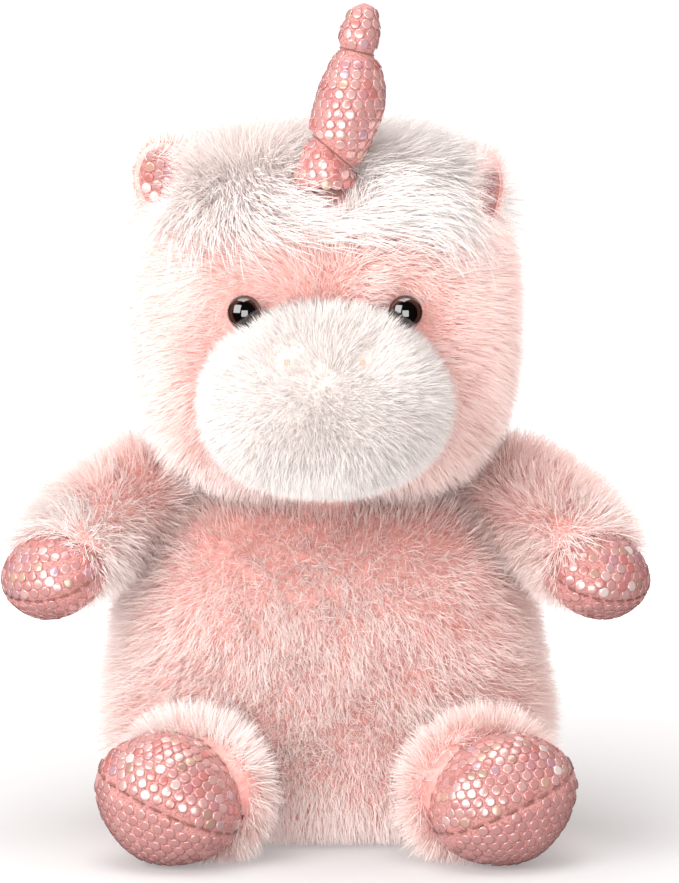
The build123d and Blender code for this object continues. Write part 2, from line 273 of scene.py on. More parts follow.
def eye_material():
    """A gloss eye: black middle, dark brown rim."""
    material, tree, bsdf = new_material(
        "eye_gloss", Roughness=0.03, Specular_IOR_Level=0.9, Coat_Weight=1.0, Coat_Roughness=0.02)
    parts = node(tree, "ShaderNodeSeparateXYZ")
    lay_on_object(tree, parts)
    flat = node(tree, "ShaderNodeCombineXYZ")
    tree.links.new(parts.outputs["X"], flat.inputs["X"])
    tree.links.new(parts.outputs["Z"], flat.inputs["Y"])
    distance = node(tree, "ShaderNodeVectorMath", operation="LENGTH")
    tree.links.new(flat.outputs["Vector"], distance.inputs[0])
    scaled = node(tree, "ShaderNodeMath", operation="MULTIPLY")
    scaled.inputs[1].default_value = 200.0
    tree.links.new(distance.outputs["Value"], scaled.inputs[0])
    colour = ramp(tree, scaled.outputs["Value"], [
        (0.0, (0.002, 0.002, 0.002)), (0.62, (0.003, 0.002, 0.002)), (0.70, (0.06, 0.022, 0.016)),
        (0.82, (0.04, 0.015, 0.011)), (0.90, (0.01, 0.005, 0.004))])
    tree.links.new(colour, bsdf.inputs["Base Color"])
    return material


# ---------------------------------------------------------------- mesh helpers

def mesh_object(name, verts, faces, material):
    """A smooth mesh of faces that all have the same number of corners."""
    verts = np.ascontiguousarray(verts, dtype=np.float32)
    faces = np.ascontiguousarray(faces, dtype=np.int32)
    mesh = bpy.data.meshes.new(name)
    mesh.vertices.add(len(verts))
    mesh.vertices.foreach_set("co", verts.ravel())
    corners = faces.shape[1]
    mesh.loops.add(faces.size)
    mesh.loops.foreach_set("vertex_index", faces.ravel())
    mesh.polygons.add(len(faces))
    mesh.polygons.foreach_set("loop_start", np.arange(0, faces.size, corners, dtype=np.int32))
    mesh.update(calc_edges=True)
    mesh.polygons.foreach_set("use_smooth", np.ones(len(faces), dtype=bool))
    mesh.materials.append(material)
    made = bpy.data.objects.new(name, mesh)
    bpy.context.scene.collection.objects.link(made)
    return made


def add_map(made, uv_of_vertex):
    """Gives every vertex one place on the map that the colour is read from."""
    mesh = made.data
    layer = mesh.uv_layers.new(name="OFBake")
    corner = np.empty(len(mesh.loops), dtype=np.int32)
    mesh.loops.foreach_get("vertex_index", corner)
    layer.data.foreach_set("uv", uv_of_vertex[corner].astype(np.float32).ravel())


def ball_net(rounds):
    """Directions and triangles of an even net on a ball."""
    bm = bmesh.new()
    bmesh.ops.create_icosphere(bm, subdivisions=rounds, radius=1)
    bm.verts.ensure_lookup_table()
    directions = np.array([v.co for v in bm.verts])
    triangles = np.array([[v.index for v in f.verts] for f in bm.faces])
    bm.free()
    return directions, triangles


BALL = {rounds: ball_net(rounds) for rounds in (4, 5, 6)}


class Skin:
    """The surface that hair grows on: points, triangles and outward normals."""

    def __init__(self, verts, tris):
        self.verts = verts
        self.tris = tris
        a, b, c = (verts[tris[:, i]] for i in range(3))
        cross = np.cross(b - a, c - a)
        self.area = np.linalg.norm(cross, axis=1) / 2
        normals = np.zeros_like(verts)
        for i in range(3):
            np.add.at(normals, tris[:, i], cross)
        self.normals = unit(normals)

    def scatter(self, rng, per_mm2, keep):
        """Random points with their normals, evenly over the surface where keep allows them."""
        count = int(self.area.sum() / MM**2 * per_mm2)
        pick = rng.choice(len(self.tris), size=count, p=self.area / self.area.sum())
        u, v = rng.random((2, count))
        over = u + v > 1
        u[over], v[over] = 1 - u[over], 1 - v[over]
        weights = np.stack([1 - u - v, u, v], axis=1)[:, :, None]
        corners = self.tris[pick]
        points = (self.verts[corners] * weights).sum(axis=1)
        normals = unit((self.normals[corners] * weights).sum(axis=1))
        kept = keep(points, normals, rng)
        return points[kept], normals[kept]


def superball(centre, radii, power_xz, power_y, rounds=5):
    """A ball stretched to a box: the powers make it squarer than an ellipsoid."""
    directions, triangles = BALL[rounds]
    scaled = np.abs(directions) / radii
    ring = scaled[:, 0]**power_xz + scaled[:, 2]**power_xz
    reach = (ring**(power_y / power_xz) + scaled[:, 1]**power_y)**(-1 / power_y)
    return centre + directions * reach[:, None], triangles


def swirl(points, seed):
    """A smooth random direction at each point, with features of some 2 to 4 cm."""
    rng = np.random.default_rng(seed)
    total = np.zeros_like(points)
    for _ in range(5):
        wave = unit(rng.normal(size=3)) * rng.uniform(150, 420)
        phase = rng.uniform(0, 2 * math.pi)
        total += np.sin(points @ wave + phase)[:, None] * unit(rng.normal(size=3))
    return total / 2.2


def clumps(points, rng, spacing):
    """The clump that each hair belongs to: the nearest of some of the hairs themselves."""
    share = min(1.0, 0.9 * MM**2 / spacing**2)
    chosen = rng.random(len(points)) < max(share, 4 / len(points))
    seeds = points[chosen]
    tree = KDTree(len(seeds))
    for i, seed in enumerate(seeds):
        tree.insert(seed, i)
    tree.balance()
    return np.array([tree.find(p)[1] for p in points])


def gathered(values, group, pull):
    """Pulls each value towards the mean of its group."""
    sizes = np.bincount(group).astype(float)
    means = np.stack([np.bincount(group, values[:, i]) for i in range(3)], axis=1)
    means /= np.maximum(sizes, 1)[:, None]
    return values + (means[group] - values) * np.reshape(pull, (-1, 1))


def hair_mesh(name, spine, normals, widths, tint, turn):
    """Tapering ribbons along spine[step][hair], each turned at random about its own line."""
    steps, count = spine.shape[:2]
    rings = []
    for step in range(steps - 1):
        along = unit(spine[step + 1] - spine[step])
        side = unit(np.cross(along, normals))
        side = side * np.cos(turn)[:, None] + np.cross(along, side) * np.sin(turn)[:, None]
        half = (widths * 0.5 * (1 - 0.7 * step / (steps - 1)))[:, None]
        rings += [spine[step] - side * half, spine[step] + side * half]
    rings.append(spine[-1])
    verts = np.stack(rings, axis=1)
    per_hair = verts.shape[1]
    faces = []
    for step in range(steps - 2):
        a = 2 * step
        faces += [[a, a + 1, a + 3], [a, a + 3, a + 2]]
    faces.append([per_hair - 3, per_hair - 2, per_hair - 1])
    starts = np.arange(count)[:, None, None] * per_hair
    faces = (np.array(faces)[None] + starts).reshape(-1, 3)
    made = mesh_object(name, verts.reshape(-1, 3), faces, HAIR)
    levels = np.array([step / (steps - 1) for step in range(steps - 1) for _ in range(2)] + [1.0])
    u = np.clip(tint[:, None], 0.005, 0.985) + np.array([0, 0.008] * (steps - 1) + [0.004])
    v = np.broadcast_to(0.02 + 0.96 * levels, u.shape)
    add_map(made, np.stack([u, v], axis=-1).reshape(-1, 2))
    return made


def always(points, normals, rng):
    return np.ones(len(points), dtype=bool)


def down(points, normals):
    return np.broadcast_to(-UP, points.shape)


def grow(skin, part, seed, length, comb=down, lean=0.35, tint=0.9, keep=always, clump=0.4,
         clump_size=2.6 * MM, width=HAIR_WIDTH, steps=4, ruffle=0.3, frizz=0.22):
    """Hairs on the skin of a part: returns their roots, spines, normals, widths and tints."""
    rng = np.random.default_rng(seed)
    points, normals = skin.scatter(rng, HAIRS_PER_MM2[part], keep)
    count = len(points)
    reach = length(points) if callable(length) else np.full(count, length)
    reach = reach * rng.uniform(*HAIR_LENGTHS, count)
    way = comb(points, normals)
    way = unit(way - normals * (way * normals).sum(axis=1)[:, None] + 1e-6)
    amount = lean(points) if callable(lean) else np.full(count, lean)
    noise_way = swirl(points, seed) * ruffle + rng.normal(size=(count, 3)) * frizz
    start = unit(normals * (1 - 0.5 * amount)[:, None] + way * (0.5 * amount)[:, None] + noise_way * 0.5)
    finish = unit(normals * (1 - amount)[:, None] + way * amount[:, None] + noise_way)
    spine = [points - normals * ROOT_DEPTH]
    for step in range(1, steps):
        t = step / (steps - 1)
        heading = unit(start * (1 - t) + finish * t)
        spine.append(spine[-1] + heading * (reach / (steps - 1))[:, None])
    spine = np.stack(spine)
    group = clumps(points, rng, clump_size)
    for step in range(1, steps):
        t = step / (steps - 1)
        spine[step] = gathered(spine[step], group, clump * t * t * rng.uniform(0.5, 1.2, count))
    spine[:, :, 2] = np.maximum(spine[:, :, 2], FLOOR)
    colour = tint(points) if callable(tint) else np.full(count, tint)
    group_shade = rng.normal(size=group.max() + 1)[group] * 0.04
    colour = np.clip(colour + group_shade + rng.normal(size=count) * 0.05, 0, 1)
    return {"roots": points, "spine": spine, "normals": normals, "tint": colour,
            "width": width * rng.uniform(*HAIR_WIDTHS, count),
            "turn": rng.uniform(-HAIR_TURN, HAIR_TURN, count)}


def comb_out(name, hairs, chosen=slice(None)):
    """Makes one piece of the chosen hairs, or of them all."""
    return hair_mesh(name, hairs["spine"][:, chosen], hairs["normals"][chosen],
                     hairs["width"][chosen], hairs["tint"][chosen], hairs["turn"][chosen])


def quarters(name, hairs, centre):
    """Parts a coat of hair at its four seams: front and back, left and right."""
    made = []
    for front, y_sign in (("front", -1), ("back", 1)):
        for side, x_sign in (("left", -1), ("right", 1)):
            offset = hairs["roots"] - centre
            chosen = (offset[:, 1] * y_sign > 0) & (offset[:, 0] * x_sign > 0)
            made.append(comb_out(f"{name}_{front}_{side}", hairs, chosen))
    return made


def settle(piece, body):
    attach(piece, body)


HAIR = hair_material()
PINK_BACKING = backing_material("pink_backing", (0.80, 0.36, 0.33), (0.90, 0.52, 0.48))
WHITE_BACKING = backing_material("white_backing", (0.86, 0.78, 0.75), (0.93, 0.88, 0.86))
FOIL_CLOTH = foil_cloth_material()
FOIL_DOTS = foil_dot_material()
SEAM_THREAD = thread_material("seam_thread", (0.16, 0.05, 0.04), (0.36, 0.14, 0.11))
NOSTRIL_THREAD = thread_material("nostril_thread", (0.74, 0.40, 0.31), (0.88, 0.58, 0.48))


# ---------------------------------------------------------------- head

HEAD_MIDDLE, HEAD_HALF = boxes("head_cover_front", "head_cover_back")
MUZZLE_MIDDLE, MUZZLE_HALF = boxes("muzzle_cover")
EYES = {name: np.array(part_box(f"eye_{name}")) for name in SIDES}
EYE_RADIUS = (EYES["l"][1][0] - EYES["l"][0][0]) / 2


def eye_middle(name):
    low, high = EYES[name]
    return np.array([(low[0] + high[0]) / 2, low[1] + EYE_RADIUS, (low[2] + high[2]) / 2])


def muzzle_centre():
    """The muzzle is drawn as a whole rounded form that sinks into the face."""
    front = MUZZLE_MIDDLE[1] - MUZZLE_HALF[1]
    depth = 34 * MM
    return np.array([MUZZLE_MIDDLE[0], front + depth, MUZZLE_MIDDLE[2]]), depth


def muzzle_level(points):
    """Below 1 inside the muzzle and above 1 outside it."""
    centre, depth = muzzle_centre()
    radii = np.array([MUZZLE_HALF[0], depth, MUZZLE_HALF[2]])
    return (np.abs((points - centre) / radii)**2.3).sum(axis=1)**(1 / 2.3)


def nearer(points, middle_of, weights=(1, 0, 1)):
    """Distance to the nearer of a left and a right place, seen from the front unless depth has weight."""
    offsets = [(points - middle_of(n)) * np.array(weights) for n in SIDES]
    return np.min([np.linalg.norm(o, axis=1) for o in offsets], axis=0)


def eye_distance(points):
    return nearer(points, eye_middle)


def head_skin():
    verts, tris = superball(HEAD_MIDDLE, HEAD_HALF, 3.2, 2.4, rounds=6)
    face = smoothstep(0, -1, (verts[:, 1] - HEAD_MIDDLE[1]) / HEAD_HALF[1])
    sockets = np.exp(-(eye_distance(verts) / (7 * MM))**2) * face
    verts[:, 1] += sockets * 2.0 * MM
    return verts, tris


def horn_distance(points):
    """From the line of the horn, counted double in front of it, where hair covers its foot."""
    offset = points - joint_of("horn")
    ahead = np.where(offset[:, 1] < 0, 2.0, 1.0)
    return np.hypot(offset[:, 0], offset[:, 1] * ahead)


def ear_distance(points):
    return nearer(points, ear_middle, (1, 0.45, 1))


def forelock_zone(points):
    """1 where the long white hair is rooted, fading to 0 around it."""
    offset = (points - HEAD_MIDDLE) / HEAD_HALF
    brow = 0.04 * smoothstep(0.3, -0.6, offset[:, 1])
    top = smoothstep(0.50, 0.74, offset[:, 2] + brow)
    across = smoothstep(0.98, 0.80, np.abs(offset[:, 0]))
    back = smoothstep(0.75, 0.35, offset[:, 1])
    return top * across * back


def mane_zone(points):
    """1 on the strip down the back of the head where the mane is rooted, fading to 0 beside it."""
    offset = (points - HEAD_MIDDLE) / HEAD_HALF
    strip = smoothstep(0.27, 0.08, np.abs(offset[:, 0]))
    return strip * smoothstep(0.0, 0.35, offset[:, 1]) * smoothstep(-0.75, -0.5, offset[:, 2])


def keep_face(points, normals, rng):
    """No pink hair under the muzzle, over the eyes, at the horn or under the neck."""
    inside_muzzle = (muzzle_level(points) < 1.0) & (points[:, 1] < HEAD_MIDDLE[1])
    near_eye = (eye_distance(points) < 4.4 * MM) & (points[:, 1] < HEAD_MIDDLE[1])
    at_horn = (horn_distance(points) < 8 * MM) & (points[:, 2] > HEAD_MIDDLE[2])
    neck = np.hypot(points[:, 0], points[:, 1] - joint_of("neck")[1]) < 9 * MM
    at_neck = neck & (points[:, 2] < HEAD_MIDDLE[2])
    at_ear = ear_distance(points) < 8 * MM
    return ~(inside_muzzle | near_eye | at_horn | at_neck | at_ear)


def face_pile(points):
    """Pile length on the head: trimmed round the eyes and above the muzzle."""
    front = points[:, 1] < HEAD_MIDDLE[1]
    trim = smoothstep(4 * MM, 15 * MM, eye_distance(points))
    reach = PILE * np.where(front, 0.40 + 0.60 * trim, 1.0)
    brow = np.where(front, smoothstep(1.0, 1.5, muzzle_level(points)), 1.0)
    return reach * (0.72 + 0.28 * brow)


def face_comb(points, normals):
    """The pile lies away from the muzzle and downwards."""
    centre, _ = muzzle_centre()
    away = unit((points - centre) * np.array([1, 0.2, 1]))
    front = smoothstep(0.2, -0.5, (points[:, 1] - HEAD_MIDDLE[1]) / HEAD_HALF[1])
    return unit(-UP * 0.8 + away * front[:, None])


def head_tint(points):
    """Painted light: paler on the left, where the key light falls. Nearly white under the forelock and the
    mane.
    """
    # painted light: paler on the left, where the key light falls
    lit = smoothstep(50 * MM, -30 * MM, points[:, 0])
    return 1.0 - 0.2 * lit - 0.6 * np.maximum(forelock_zone(points), mane_zone(points))


def forelock_comb(points, normals):
    """The long hair is swept forwards and to the right from a parting near the left ear, and falls
    more steeply beside the ears."""
    x = (points[:, 0] - HEAD_MIDDLE[0]) / HEAD_HALF[0]
    near_ear = smoothstep(0.3, 0.75, np.abs(x))
    sideways = (-0.4 + 1.25 * smoothstep(-0.95, 0.1, x)) * (1 - 0.7 * near_ear)
    forward = np.full(len(points), -0.6)
    falling = -0.12 - 0.25 * near_ear
    return unit(np.stack([sideways, forward, falling], axis=1))


def forelock_tint(points):
    """White, with a breath of pink on the left, where the hair parts: painted shade that warms the grey of
    the shadow there.
    """
    return 0.14 + 0.14 * smoothstep(0.0, -0.4, (points[:, 0] - HEAD_MIDDLE[0]) / HEAD_HALF[0])


def keep_forelock(points, normals, rng):
    zone = forelock_zone(points)
    chosen = zone > rng.random(len(points))
    return chosen & (horn_distance(points) > 8 * MM) & (ear_distance(points) > 9 * MM)


def keep_mane(points, normals, rng):
    return mane_zone(points) > rng.random(len(points))


def make_head():
    verts, tris = head_skin()
    skin = mesh_object("head_skin", verts, tris, PINK_BACKING)
    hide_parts("head_cover_front", "head_cover_back", "head_stuffing", "eye_washer_l",
                "eye_washer_r")
    settle(skin, "head")
    surface = Skin(verts, tris)
    coat = grow(surface, "head", 11, face_pile, comb=face_comb, lean=0.34, tint=head_tint, keep=keep_face)
    for piece in quarters("head_fur", coat, HEAD_MIDDLE):
        settle(piece, "head")
    fringe = grow(surface, "forelock", 12, FORELOCK_PILE, comb=forelock_comb, lean=0.70, tint=forelock_tint,
                  keep=keep_forelock, clump=0.3, clump_size=2.8 * MM, steps=6, frizz=0.17, ruffle=0.15)
    piece = comb_out("forelock_hair", fringe)
    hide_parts("forelock")
    settle(piece, "head")
    crest = grow(surface, "mane", 13, MANE_PILE, lean=0.55, tint=0.10, keep=keep_mane, clump=0.5,
                 clump_size=3.6 * MM, steps=5)
    piece = comb_out("mane_hair", crest)
    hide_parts("mane")
    settle(piece, "head")


def make_neck():
    """A short furless tube of backing that closes the gap between head and torso."""
    centre, half = boxes("neck_stuffing")
    verts, tris = superball(centre, half, 2.2, 2.0, rounds=4)
    neck = mesh_object("neck_skin", verts, tris, PINK_BACKING)
    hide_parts("neck_stuffing")
    settle(neck, "neck")


# ---------------------------------------------------------------- muzzle, eyes and nostrils

def nostril_middle(name):
    low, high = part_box(f"nostril_stitch_{name}")
    return (np.array(low) + np.array(high)) / 2


def nostril_distance(points):
    return nearer(points, nostril_middle)


def muzzle_comb(points, normals):
    """Short pile that fans out from the bridge between the nostrils."""
    centre, _ = muzzle_centre()
    bridge = centre + np.array([0, 0, 0.3 * MUZZLE_HALF[2]])
    away = unit((points - bridge) * np.array([1, 0, 1]))
    return unit(away - UP * 0.45)


def muzzle_pile(points):
    dimple = smoothstep(1 * MM, 6 * MM, nostril_distance(points))
    return SHORT_PILE * (0.35 + 0.65 * dimple)


def keep_muzzle(points, normals, rng):
    deep = points[:, 1] > HEAD_MIDDLE[1] - HEAD_HALF[1] + 8 * MM
    return ~deep & (nostril_distance(points) > 0.8 * MM)


def make_muzzle():
    centre, depth = muzzle_centre()
    radii = np.array([MUZZLE_HALF[0], depth, MUZZLE_HALF[2]])
    verts, tris = superball(centre, radii, 2.3, 2.3)
    height = (verts[:, 2] - centre[2]) / MUZZLE_HALF[2]
    jowls = 1.03 + 0.03 * smoothstep(0.2, -0.6, height) - 0.16 * smoothstep(0.1, 1.0, height)
    verts[:, 0] *= jowls
    verts[:, 2] += 1.5 * MM * height
    dimples = np.exp(-(nostril_distance(verts) / (4 * MM))**2) * (verts[:, 1] < centre[1])
    verts[:, 1] += dimples * 1.8 * MM
    skin = mesh_object("muzzle_skin", verts, tris, WHITE_BACKING)
    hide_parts("muzzle_cover", "muzzle_stuffing")
    settle(skin, "head")
    # tint 0 picks the darker white of the hair: painted shade, as the muzzle takes the most light
    coat = grow(Skin(verts, tris), "muzzle", 21, muzzle_pile, comb=muzzle_comb, lean=0.25, tint=0.0,
                keep=keep_muzzle, clump=0.35, clump_size=2.0 * MM, frizz=0.3)
    piece = comb_out("muzzle_fur", coat)
    settle(piece, "head")
    for name in SIDES:
        make_nostril(name)


def tube_faces(rings, spokes):
    """Triangles of a tube of rings, closed at both ends."""
    faces = []
    for i in range(rings - 1):
        for k in range(spokes):
            a, b = i * spokes + k, i * spokes + (k + 1) % spokes
            faces += [[a, b, b + spokes], [a, b + spokes, a + spokes]]
    last = (rings - 1) * spokes
    for k in range(1, spokes - 1):
        faces.append([0, k + 1, k])
        faces.append([last, last + k, last + k + 1])
    return np.array(faces)


def tube(path, radius, sides=8):
    """Points and triangles of a closed round bar along a path."""
    path = np.array(path)
    tangent = unit(np.gradient(path, axis=0))
    side = unit(np.cross(tangent, UP + 0.01))
    other = np.cross(tangent, side)
    rings = []
    for i in range(len(path)):
        end = min(i, len(path) - 1 - i)
        width = radius * (0.35 if end == 0 else 1.0)
        for corner in range(sides):
            angle = 2 * math.pi * corner / sides
            rings.append(path[i] + width * (side[i] * math.cos(angle) + other[i] * math.sin(angle)))
    return np.array(rings), tube_faces(len(path), sides)


def joined(parts):
    """One net made of several."""
    verts, faces, count = [], [], 0
    for part_verts, part_faces in parts:
        verts.append(part_verts)
        faces.append(part_faces + count)
        count += len(part_verts)
    return np.concatenate(verts), np.concatenate(faces)


def make_nostril(name):
    """A small satin stitch: a few short threads side by side."""
    middle = nostril_middle(name)
    stitches = []
    for i in range(3):
        offset = (i - 1) * 0.55 * MM
        path = []
        for t in np.linspace(-1, 1, 7):
            bulge = -0.5 * MM * (1 - t * t)
            path.append(middle + np.array([offset, -0.6 * MM + bulge, t * 0.9 * MM]))
        stitches.append(tube(path, 0.33 * MM))
    verts, faces = joined(stitches)
    piece = mesh_object(f"nostril_threads_{name}", verts, faces, NOSTRIL_THREAD)
    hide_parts(f"nostril_stitch_{name}")
    settle(piece, "head")


def make_eye(name):
    """A domed gloss eye with a thin rim, set on the face."""
    directions, triangles = BALL[5]
    middle = eye_middle(name)
    verts = directions * EYE_RADIUS * np.array([1.18, 0.85, 1.18])
    eye = mesh_object(f"eye_dome_{name}", verts, triangles, EYE_GLOSS)
    eye.location = middle
    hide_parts(f"eye_{name}")
    settle(eye, "head")


EYE_GLOSS = eye_material()


# ---------------------------------------------------------------- torso

TORSO_MIDDLE, TORSO_HALF = boxes("body_cover_front", "body_cover_back")


def torso_skin():
    """Pear shape: fullest low down, a little narrower at the shoulders, flat where it sits."""
    verts, tris = superball(TORSO_MIDDLE, TORSO_HALF, 3.6, 3.0, rounds=6)
    height = (verts[:, 2] - TORSO_MIDDLE[2]) / TORSO_HALF[2]
    taper = 1 - 0.04 * smoothstep(0.0, 0.9, height) + 0.08 * smoothstep(0.15, -0.4, height)
    verts[:, :2] = TORSO_MIDDLE[:2] + (verts[:, :2] - TORSO_MIDDLE[:2]) * taper[:, None]
    front = smoothstep(0, -1, (verts[:, 1] - TORSO_MIDDLE[1]) / TORSO_HALF[1])
    verts[:, 1] -= 14 * MM * front * smoothstep(-0.2, -1.0, height)
    verts[:, 2] -= 7 * MM * front * smoothstep(-0.4, -0.9, height)
    verts[:, 2] = np.maximum(verts[:, 2], 0.3 * MM)
    return verts, tris


def keep_torso(points, normals, rng):
    seat = (points[:, 2] < 2 * MM) & (normals[:, 2] < -0.7)
    neck = np.hypot(points[:, 0], points[:, 1] - joint_of("neck")[1]) < 9 * MM
    return ~(seat | neck & (points[:, 2] > TORSO_MIDDLE[2]))


def torso_pile(points):
    """The pile is pressed short where the toy sits on it."""
    return PILE * (0.8 + 0.2 * smoothstep(0, 14 * MM, points[:, 2]))


def torso_lean(points):
    """The pile hangs, and more so near the floor, where it hides the edge of the seat."""
    return 0.32 + 0.35 * smoothstep(24 * MM, 2 * MM, points[:, 2])


def torso_tint(points):
    """Painted light and shade: paler on the left, where the light comes from, and rosier under the chin,
    where the head shades the chest.
    """
    blush = np.sin(points[:, 0] * 70 + 1) * np.sin(points[:, 2] * 60) * 0.05
    # painted light: paler on the left, where the key light falls
    lit = smoothstep(75 * MM, 5 * MM, points[:, 0])
    # painted shade: rosier under the chin, where the head shades the chest
    chin_shade = smoothstep(76 * MM, 92 * MM, points[:, 2])
    return 0.86 + blush - 0.38 * lit + 0.25 * chin_shade


def make_torso():
    verts, tris = torso_skin()
    skin = mesh_object("torso_skin", verts, tris, PINK_BACKING)
    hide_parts("body_cover_front", "body_cover_back", "base_panel", "body_stuffing",
                "bean_pouch", "bean_pellets")
    settle(skin, "torso")
    coat = grow(Skin(verts, tris), "torso", 31, torso_pile, lean=torso_lean, tint=torso_tint,
                keep=keep_torso, ruffle=0.13, clump=0.24)
    for piece in quarters("torso_fur", coat, TORSO_MIDDLE):
        settle(piece, "torso")


# ---------------------------------------------------------------- arms and legs

class Limb:
    """Sizes and local frame of an arm or leg: across it, up, and along it, with the seam's roll."""

    def __init__(self, name):
        kind, side = name.split("_")
        self.name = name
        self.joint = joint_of(name)
        middle, _ = boxes(f"{name}_hoof_upper", f"{name}_hoof_lower")
        self.radii = np.array(HOOF_RADII[kind])
        self.along = unit(middle - self.joint)
        overhang = (self.radii[2] - HOOF_MOUTH) / 2
        self.length = np.linalg.norm(middle - self.joint) - overhang
        self.hoof = self.joint + self.along * self.length
        across = unit(np.cross(UP, self.along))
        up = np.cross(self.along, across)
        roll = math.radians(HOOF_ROLL[kind]) * SIDES[side]
        self.across = across * math.cos(roll) + up * math.sin(roll)
        self.up = np.cross(self.along, self.across)
        bag = {"arm": (SIDES[side], 0, 4.0), "leg": (-5.0 * SIDES[side], 2.0, 2.0)}[kind]
        self.slack = np.array(bag) * MM     # the middle of the sleeve bags: an arm's up, a leg's inwards
        self.root_radius = {"arm": 13.5 * MM, "leg": 16 * MM}[kind]
        self.dome = 7 * MM                  # depth of the sleeve's closed end, inside the hoof

    def place(self, local, origin):
        axes = np.stack([self.across, self.up, self.along])
        return origin + local @ axes

    def sleeve(self):
        """A tapered tube from inside the torso that closes in a dome inside the hoof."""
        rings, spokes = 44, 48
        start, mouth = -self.root_radius, self.length - HOOF_MOUTH
        dome = self.dome
        verts = []
        for i in range(rings):
            z = start + (mouth + dome - start) * (1 - math.cos(math.pi * i / (rings - 1))) / 2
            cap = math.sqrt(max(0.002, 1 - max(0, (z - mouth) / dome)**2))
            wide = self.root_radius * math.sqrt(max(0.002, 1 - min(0, z / self.root_radius)**2))
            flare = float(smoothstep(0.25, 1.0, z / mouth))
            a = (wide * (1 - flare) + self.radii[0] * 0.90 * flare) * cap
            b = (wide * (1 - flare) + self.radii[1] * 0.92 * flare) * cap
            for k in range(spokes):
                angle = 2 * math.pi * k / spokes
                verts.append([a * math.cos(angle), b * math.sin(angle), z])
        verts = self.place(np.array(verts), self.joint)
        run = (verts - self.joint) @ self.along / self.length
        sag = smoothstep(0.1, 0.6, run) * (1 - smoothstep(0.75, 1.1, run))
        verts += sag[:, None] * self.slack
        return verts, tube_faces(rings, spokes)


def limb_tint(limb):
    """The pile of a limb is paler towards its hoof and on top, and rosier under it, at its root and on the
    right,
    which is painted shade: under the limb, near the body and on the side away from the key light."""
    def tint(points):
        run = (points - limb.joint) @ limb.along / limb.length
        lift = (points - limb.joint) @ limb.up / limb.root_radius
        # painted shade: rosier under the limb near its root
        shade_under = smoothstep(1.2, 0.3, run) * smoothstep(0.2, -0.7, lift)
        # painted shade: rosier on the right, away from the key light
        shade_right = smoothstep(-60 * MM, 70 * MM, points[:, 0])
        paler = 0.10 * smoothstep(0.0, 0.8, run) + 0.14 * smoothstep(0, 1, lift)
        # painted shade: rosier near the shoulder, in the shade of the head and body
        root = smoothstep(0.9, 0.1, run)
        return 0.38 - paler + 0.4 * shade_under + 0.25 * shade_right + 0.4 * root
    return tint


def keep_limb(limb):
    """No hair before the sleeve's root or on the end that is inside the hoof."""
    def keep(points, normals, rng):
        run = (points - limb.joint) @ limb.along
        return (run > -limb.root_radius) & (normals @ limb.along < 0.75)
    return keep


def limb_comb(limb):
    """The pile of a limb lies towards its hoof and downwards."""
    def comb(points, normals):
        return unit(limb.along * 0.8 - UP * 0.4 + np.zeros_like(points))
    return comb


def make_limb(name):
    limb = Limb(name)
    verts, tris = limb.sleeve()
    skin = mesh_object(f"{name}_skin", verts, tris, PINK_BACKING)
    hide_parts(f"{name}_sleeve", f"{name}_stuffing")
    reach = PILE * (1.1 if name.startswith("arm") else 1.0)
    coat = grow(Skin(verts, tris), "limb", 41 + len(name) + SIDES[name[-1]], reach, comb=limb_comb(limb),
                lean=0.30, tint=limb_tint(limb), keep=keep_limb(limb), frizz=0.3)
    fur = comb_out(f"{name}_fur", coat)
    for piece in (skin, fur):
        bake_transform(piece)
    make_hoof(limb)


def hoof_level(limb):
    """How far the hoof reaches in each direction: its outline is drawn out along the seam."""
    def reach(directions):
        scaled = np.abs(directions) / limb.radii
        outline = (scaled[:, 0]**1.75 + scaled[:, 1]**1.75)**(2.2 / 1.75)
        return (outline + scaled[:, 2]**2.2)**(-1 / 2.2)
    return reach


def foil_dots(name, spots, outs, tints, rng):
    """Thin, slightly domed twelve-sided dots of foil, each a little tilted."""
    sides = 12
    outs = unit(outs + rng.normal(size=outs.shape) * 0.05)
    side = unit(np.cross(outs, UP + 0.1))
    other = np.cross(outs, side)
    layers = []
    for radius, height in ((DOT_RADIUS, -0.5), (DOT_RADIUS, 0.55), (DOT_RADIUS * 0.7, 0.95)):
        for corner in range(sides):
            angle = 2 * math.pi * corner / sides
            rim = side * math.cos(angle) + other * math.sin(angle)
            layers.append(spots + rim * radius + outs * height * DOT_THICKNESS)
    layers.append(spots + outs * 1.1 * DOT_THICKNESS)
    layers.append(spots - outs * 0.5 * DOT_THICKNESS)
    verts = np.stack(layers, axis=1)
    top, bottom = 3 * sides, 3 * sides + 1
    faces = []
    for corner in range(sides):
        n = (corner + 1) % sides
        for ring in (0, sides):
            a, b = ring + corner, ring + n
            faces += [[a, b, b + sides], [a, b + sides, a + sides]]
        faces += [[2 * sides + corner, 2 * sides + n, top], [n, corner, bottom]]
    faces = np.array(faces)
    per_dot = verts.shape[1]
    starts = np.arange(len(spots))[:, None, None] * per_dot
    made = mesh_object(name, verts.reshape(-1, 3), (faces[None] + starts).reshape(-1, 3), FOIL_DOTS)
    angles = np.array([2 * math.pi * (i % sides) / sides for i in range(3 * sides)] + [0, 0])
    radius = np.array([1] * 2 * sides + [0.7] * sides + [0, 0]) * 0.004
    u = np.clip(tints, 0.01, 0.99)[:, None] + radius * np.cos(angles)
    v = 0.5 + radius * np.sin(angles) + np.zeros_like(u)
    add_map(made, np.stack([u, v], axis=-1).reshape(-1, 2))
    return made


def flat_net(rows):
    """Places of a flat hexagonal net of dots, row by row."""
    for row in range(-rows, rows + 1):
        for column in range(-rows, rows + 1):
            yield (column + 0.5 * (row % 2)) * DOT_PITCH, row * DOT_PITCH * math.sqrt(0.75)


